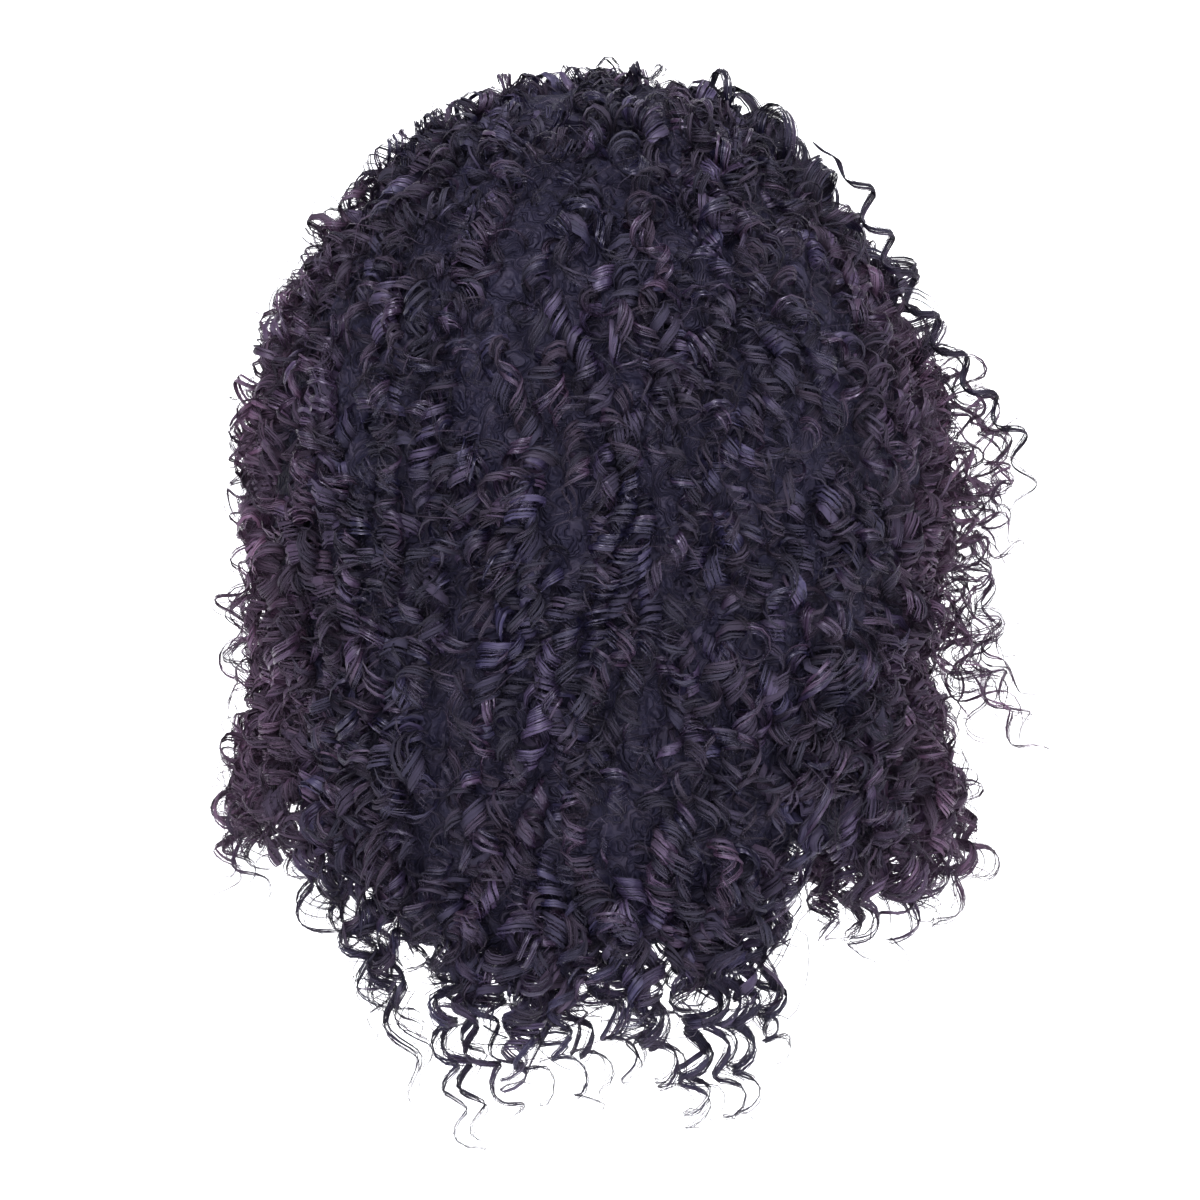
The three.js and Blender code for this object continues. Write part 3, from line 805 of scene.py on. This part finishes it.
# The hanging corkscrews.
# Long locks that hang free below the mass at the back and sides, in bunches that coil together.
# Each row is a bunch: its turn, the height of its tip and its depth under the dressed surface.
HANGING_TIPS = [
    (-94, -0.292, -0.012), (-82, -0.299, -0.010), (-70, -0.300, 0.002), (-49, -0.312, 0.002),
    (-44, -0.332, 0.004), (-39, -0.346, 0.006), (-34.5, -0.366, 0.006), (-26.5, -0.389, 0.010),
    (-20.5, -0.371, 0.006), (-13, -0.362, 0.008), (-6, -0.370, 0.006), (2, -0.356, 0.006),
    (8.5, -0.365, 0.010), (16.5, -0.380, 0.010), (21.5, -0.374, 0.004), (28, -0.369, 0.006),
    (34.5, -0.330, 0.006), (51, -0.298, 0.006), (57.5, -0.314, 0.006), (64, -0.317, 0.004),
    (73, -0.304, 0.002), (82, -0.308, 0.0), (92, -0.296, -0.013),
]
HANGING_ROOT_FALL = 1.62
FOLLOWERS = 2
LOOSE_HANGING = 12
lead = np.tile(np.arange(len(HANGING_TIPS)), 1 + FOLLOWERS)
follows = np.where(np.arange(len(lead)) < len(HANGING_TIPS), 0.0, 1.0)
loose_turn = rng.choice([-1.0, 1.0], LOOSE_HANGING) * rng.uniform(52, 118, LOOSE_HANGING)
loose_height = eased(LOWER_EDGE, loose_turn) - rng.uniform(-0.008, 0.01, LOOSE_HANGING)
strayed = np.stack([
    rng.normal(0, 1.0, len(lead)), rng.uniform(0.004, 0.022, len(lead)), rng.uniform(0.001, 0.01, len(lead)),
])
bunched = np.array(HANGING_TIPS)[lead].T + follows * strayed
loose = np.stack([loose_turn, loose_height, rng.uniform(0.002, 0.036, LOOSE_HANGING)])
tip_turn, tip_height, tip_depth = np.concatenate([bunched, loose], axis=1)
hanging_fall = np.full(len(tip_turn), HANGING_ROOT_FALL)
hanging = draw_locks(
    (tip_turn, hanging_fall), TOP_DEPTHS, drift=1.0, radius=(0.0042, 0.0056), pitch=(0.0165, 0.0195),
)
hanging["hand"] = np.where(tip_turn < -16, -1.0, 1.0)
hanging["phase"] = rng.normal(0, 0.7, len(tip_turn))
hanging["sway"] = 0.3 * hanging["sway"]
for part in ("hand", "phase", "pitch", "sway", "drift", "radius"):
    hanging[part][:len(lead)] = hanging[part][lead]
hanging["phase"][:len(lead)] += 0.3 * follows * rng.normal(0, 1, len(lead))
tip_fall = 1 + (tip_height - DOME_BASE) / (eased(LOWER_EDGE, tip_turn) - DOME_BASE)
hanging["length"] = (tip_fall - HANGING_ROOT_FALL) * fall_reach(tip_turn, hanging_fall)
hanging["depths"] = [np.maximum(tip_depth, 0.008) + 0.006, np.maximum(tip_depth, 0.004), tip_depth]
wind(under, hanging, strands=4, ribbon=0.0026, width=(0.0011, 0.0016), stations=44, stray=0.4, shortest=0.92)
wind(under, hanging, strands=3, ribbon=0.004, width=FINE, stations=30, stray=1.6)

# The inner locks.
# Curls on the inside of the hanging hair and along its lower edge, rooted in the lowest wefts.
INNER_LOCKS = 48
HEM_LOCKS = 88
CHEEK_LOCKS = 28


def inner_axis(locks, share):
    """Axis of each lock inside the hanging hair: the same course, at its depth off the inner face."""
    turn, fall, length, drift = (locks[part][:, None] for part in ("turn", "fall", "length", "drift"))
    wave = 3.5 * np.sin(locks["sway"][:, :1] + 6.5 * share)
    path_turn, path_fall = turn + drift * share + wave, fall + length * share / fall_reach(turn, fall)
    inner, outer = inner_point(path_turn, path_fall), outer_point(path_turn, path_fall)
    out = unit(outer - inner)
    return inner + out * locks["depths"][1][:, None, None], -out


cheek_turn = rng.choice([-1.0, 1.0], CHEEK_LOCKS) * rng.uniform(98, 123, CHEEK_LOCKS)
inner_roots = joined(
    (rng.uniform(-118, 118, INNER_LOCKS), rng.uniform(0.9, 1.5, INNER_LOCKS)),
    (cheek_turn, rng.uniform(0.72, 1.6, CHEEK_LOCKS)),
)
inner_locks = draw_locks(inner_roots, [(0.004, 0.009)] * 3)
wind(under, inner_locks, strands=2, ribbon=0.004, width=(0.003, 0.004), stations=36, axis_of=inner_axis)
hem_roots = (rng.uniform(-80, 80, HEM_LOCKS), rng.uniform(1.5, 1.7, HEM_LOCKS))
hem_locks = draw_locks(hem_roots, [(0.004, 0.034)] * 3, edge=(-0.07, 0.01))
wind(under, hem_locks, strands=2, ribbon=0.0044, width=(0.0032, 0.0042), stations=32, axis_of=inner_axis)

# The free lock.
# One long corkscrew that has sprung away from the right side, wound along the points of its course.
FREE_LOCK = [
    (0.0800, -0.058, 0.0020), (0.0965, -0.048, -0.0115), (0.1052, -0.042, -0.0295),
    (0.1142, -0.038, -0.0460), (0.1240, -0.035, -0.0630), (0.1358, -0.032, -0.0790),
    (0.1482, -0.030, -0.0950), (0.1603, -0.028, -0.1095), (0.1650, -0.026, -0.1285),
    (0.1640, -0.024, -0.1480), (0.1680, -0.022, -0.1670),
]


def free_axis(locks, share):
    """Axis of the free lock: points joined by a curve whose slope at each is that of its neighbours."""
    points = np.array(FREE_LOCK)
    ends = np.concatenate([2 * points[:1] - points[1:2], points, 2 * points[-1:] - points[-2:-1]])
    at = share * (len(points) - 1)
    low = np.minimum(at.astype(int), len(points) - 2)
    step = (at - low)[..., None]
    before, start, stop, after = (ends[low + part] for part in range(4))
    rising, falling = 0.5 * (stop - before), 0.5 * (after - start)
    line = (2 * step**3 - 3 * step**2 + 1) * start + (step**3 - 2 * step**2 + step) * rising
    line = line + (3 * step**2 - 2 * step**3) * stop + (step**3 - step**2) * falling
    return line, unit(line - np.array([0.0, 0.0, DOME_BASE]))


free_root = (np.array([80.0]), np.array([0.6]))
free_lock = draw_locks(free_root, TOP_DEPTHS, radius=(0.0044, 0.0044), pitch=(0.019, 0.019))
free_lock["length"] = np.array([0.198])
free_lock["tint"] = np.array([0.05])
wind(
    curls, free_lock, strands=6, ribbon=0.0018, width=(0.0014, 0.0022), stations=160,
    stray=0.3, shortest=0.76, axis_of=free_axis,
)
wind(curls, free_lock, strands=3, ribbon=0.006, width=FINE, stations=100, stray=1.6, axis_of=free_axis)

# The wisps, loops and single hairs.
# Thin locks and hairs that stand off the outside of the curls, most of them on the right.
WISPS = 52
wisp_side = np.where(rng.uniform(0, 1, WISPS) < 0.8, 1, -1)
wisp_roots = (wisp_side * rng.uniform(76, 106, WISPS), rng.uniform(0.74, 1.22, WISPS))
wisp_depths = [(0.006, 0.014), (-0.024, -0.002), (-0.044, -0.014)]
wisps = draw_locks(wisp_roots, wisp_depths, (0.06, 0.1), radius=(0.0036, 0.0054), pitch=(0.015, 0.019))
wisps["depths"] = [
    np.where(wisp_side > 0, depth, np.maximum(0.4 * depth, -0.006)) for depth in wisps["depths"]
]
wind(curls, wisps, strands=2, ribbon=0.001, width=(0.0012, 0.0018), stations=48, stray=0.5)
wind(curls, wisps, strands=1, ribbon=0.0, width=FINE, stations=36, stray=2.5)

LOOPS = 16
loop_roots = (rng.uniform(72, 104, LOOPS), rng.uniform(0.12, 0.5, LOOPS))
loops = draw_locks(
    loop_roots, [(0.01, 0.014), (-0.004, 0.002), (-0.002, 0.004)],
    length=(0.07, 0.11), drift=8.0, radius=(0.0062, 0.0082), pitch=(0.022, 0.028),
)
loops["tint"] = 0.3 * loops["tint"]
wind(curls, loops, strands=4, ribbon=0.0048, width=(0.0022, 0.0032), stations=50, stray=0.6)

FLYAWAYS = 520
fly_turn = rng.uniform(-FACE_TURN, FACE_TURN, FLYAWAYS)
fly_fall = rng.uniform(0.25, 1.9, FLYAWAYS)
flyaways = draw_locks(
    (fly_turn, fly_fall), [(0.004, 0.009), (-0.002, 0.005), (-0.003, 0.005)],
    length=(0.018, 0.04), drift=14.0, radius=(0.003, 0.006), pitch=(0.014, 0.022),
)
wind(curls, flyaways, strands=1, ribbon=0.0, width=FINE, stations=16)


def curl_hair_material(name, across_scale, gap, dark, roughness):
    """Curl finish: fine fibres along the lock, with gaps cut between them near the edges and the tip.

    The colour is near-black, blue to burgundy by lock, with a painted highlight on glossy stretches, and
    browner at the tip.
    """
    material, add, shader = new_material(name)
    strand = add("Attribute", {}, attribute_name="strand")
    tone = add("Attribute", {}, attribute_name="tone")
    run = add("SeparateXYZ", {"Vector": (strand, "Vector")})
    part = add("SeparateXYZ", {"Vector": (tone, "Vector")})
    stretch = add("Mapping", {"Vector": (strand, "Vector"), "Scale": (across_scale, 45, 60)})
    place = add("CombineXYZ", {"X": (run, "Y"), "Y": (part, "Z")})
    patch = add("Mapping", {"Vector": (place, "Vector"), "Scale": (95, 90, 1)})
    fibre = add("Group", {"Strand": (stretch, "Vector"), "Lock": (patch, "Vector")}, node_tree=hair_fibre)
    lock = add("Mix", {"Factor": (part, "X"), "A": (*dark, 1), "B": ROSY_AND_RIM_LOCK}, data_type="RGBA")
    streaks = add("ValToRGB", {"Fac": (fibre, "Streak")})
    streaks.color_ramp.elements[0].color = (0.6, 0.6, 0.66, 1)
    streaks.color_ramp.elements[1].color = (1.85, 1.7, 1.68, 1)
    light = add(
        "Mix", {"Factor": 1.0, "A": (lock, "Result"), "B": (streaks, "Color")},
        data_type="RGBA", blend_type="MULTIPLY",
    )
    # Painted highlight: glossy stretches have their colour scaled up, on top of their lower roughness.
    painted_sheen = add("MapRange", {"Value": (fibre, "Gloss"), "To Min": 0.6, "To Max": 1.5})
    sheen_painted_colour = add("VectorMath", {"Vector": (light, "Result"), "Scale": (painted_sheen, "Result")}, operation="SCALE")
    tip = add("MapRange", {"Value": (part, "Y"), "From Min": 0.75, "To Max": 0.5})
    worn = add("Mix", {"Factor": (tip, "Result"), "A": (sheen_painted_colour, "Vector"), "B": WORN_TIP}, data_type="RGBA")
    rough = add("MapRange", {"Value": (fibre, "Gloss"), "To Min": 0.75, "To Max": roughness})
    off_middle = add("Math", {0: (run, "X"), 1: 0.5}, operation="SUBTRACT")
    rail = add("Math", {0: (off_middle, "Value"), 1: (off_middle, "Value")}, operation="MULTIPLY")
    thinner = add("Math", {0: (tip, "Result"), 1: 0.2, 2: (rail, "Value")}, operation="MULTIPLY_ADD")
    packing = add("Math", {0: (fibre, "Height"), 1: (thinner, "Value")}, operation="SUBTRACT")
    strands = add("MapRange", {"Value": (packing, "Value"), "From Min": gap - 0.05, "From Max": gap + 0.05})
    bump = add("Bump", {"Height": (fibre, "Height"), "Strength": 0.8, "Distance": 0.0006})
    feed(shader, {"Base Color": (worn, "Result"), "Roughness": (rough, "Result")})
    feed(shader, {"Alpha": (strands, "Result"), "Normal": (bump, "Normal")})
    feed(shader, {"Specular IOR Level": 0.42, "Specular Tint": COOL_SHEEN})
    return material


# The burgundy lock colour is also lightened as a painted rim light for the sides.
ROSY_AND_RIM_LOCK = (0.046, 0.026, 0.046, 1)
WORN_TIP = (0.02, 0.017, 0.02, 1)
curl_hair = curl_hair_material("curl_hair", 6.5, 0.44, (0.0022, 0.0021, 0.007), 0.32)
# The under-curls' dark is about three times lighter than the top curls': painted fill light that lifts the
# shade between the curls.
under_hair = curl_hair_material("under_hair", 8.0, 0.37, (0.008, 0.0074, 0.0195), 0.42)
for zone in ZONES:
    for label, bundles, finish in (("under_curls", under, under_hair), ("curls", curls, curl_hair)):
        piece = bundles[zone].piece(f"{zone}_{label}", finish)
        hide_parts(f"{zone}_hair")

# The studio.
# A pale floor that sweeps up behind the wig in one curve, soft light from all round, and a large key light.
# The camera stands behind the wig, a little above the middle of the hair.
SWEEP = [(-3.0, -0.62), (1.6, -0.62), (2.2, -0.52), (2.6, -0.2), (2.75, 0.4), (2.8, 3.0)]
sweep_at = np.linspace(0, len(SWEEP) - 1, 41)
sweep_y, sweep_z = (np.interp(sweep_at, np.arange(len(SWEEP)), part)[:, None] for part in np.array(SWEEP).T)
sweep_grid = np.stack(np.broadcast_arrays(np.array([-4.0, 4.0]), sweep_y, sweep_z), axis=-1)
sweep_index = np.arange(sweep_grid.size // 3).reshape(-1, 2)
sweep_faces = np.concatenate([sweep_index[:-1], sweep_index[1:, ::-1]], axis=1)
paper, _, paper_shader = new_material("studio_paper")
feed(paper_shader, {"Base Color": (0.9, 0.9, 0.9, 1), "Roughness": 0.9, "Specular IOR Level": 0.0})
feed(paper_shader, {"Emission Color": (1, 1, 1, 1), "Emission Strength": 0.8})
backdrop_mesh = bpy.data.meshes.new("studio_sweep")
backdrop_mesh.from_pydata(sweep_grid.reshape(-1, 3).tolist(), [], sweep_faces.tolist())
backdrop_mesh.materials.append(paper)
backdrop = bpy.data.objects.new("studio_sweep", backdrop_mesh)
bpy.context.collection.objects.link(backdrop)

world = bpy.data.worlds.new("soft_light")
bpy.context.scene.world = world
world.use_nodes = True
world_nodes = world.node_tree.nodes
sky = world_nodes["Background"]
feed(sky, {"Color": (0.86, 0.84, 1, 1), "Strength": 0.64})
seen = add_node(world_nodes, "Background", {"Color": (1, 1, 1, 1)})
ray = add_node(world_nodes, "LightPath", {})
either = add_node(world_nodes, "MixShader", {"Fac": (ray, "Is Camera Ray")})
feed(either, {1: (sky, "Background"), 2: (seen, "Background")})
feed(world_nodes["World Output"], {"Surface": (either, "Shader")})


def soft_box(name, place, aim, size, power):
    """A square area light at a place, turned to face the aim."""
    lamp = bpy.data.lights.new(name, "AREA")
    lamp.size = size
    lamp.energy = power
    holder = bpy.data.objects.new(name, lamp)
    holder.location = place
    holder.rotation_euler = (Vector(aim) - Vector(place)).to_track_quat("-Z", "Y").to_euler()
    bpy.context.collection.objects.link(holder)


soft_box("key_light", (-0.45, -1.25, 1.9), (0, 0, -0.13), 0.8, 80)
soft_box("front_light", (0.1, -1.9, 0.15), (0, 0, -0.15), 0.6, 17)
soft_box("side_light", (1.5, -1.0, 1.0), (0, 0, -0.13), 0.8, 22)

PHOTO_SPAN = 0.48
CAMERA_DISTANCE = 1.6
CAMERA_ELEVATION = 4.0
FRAME_CENTRE = Vector((-0.002, 0.0, -0.177))
SENSOR = 36.0
camera_data = bpy.data.cameras.new("camera")
camera_data.sensor_width = SENSOR
camera_data.lens = SENSOR * CAMERA_DISTANCE / PHOTO_SPAN
camera = bpy.data.objects.new("camera", camera_data)
tilt = np.radians(CAMERA_ELEVATION)
toward = Vector((0, np.cos(tilt), -np.sin(tilt)))
camera.location = FRAME_CENTRE - toward * CAMERA_DISTANCE
camera.rotation_euler = toward.to_track_quat("-Z", "Y").to_euler()
bpy.context.collection.objects.link(camera)
bpy.context.scene.camera = camera
bpy.context.scene.view_settings.view_transform = "Standard"
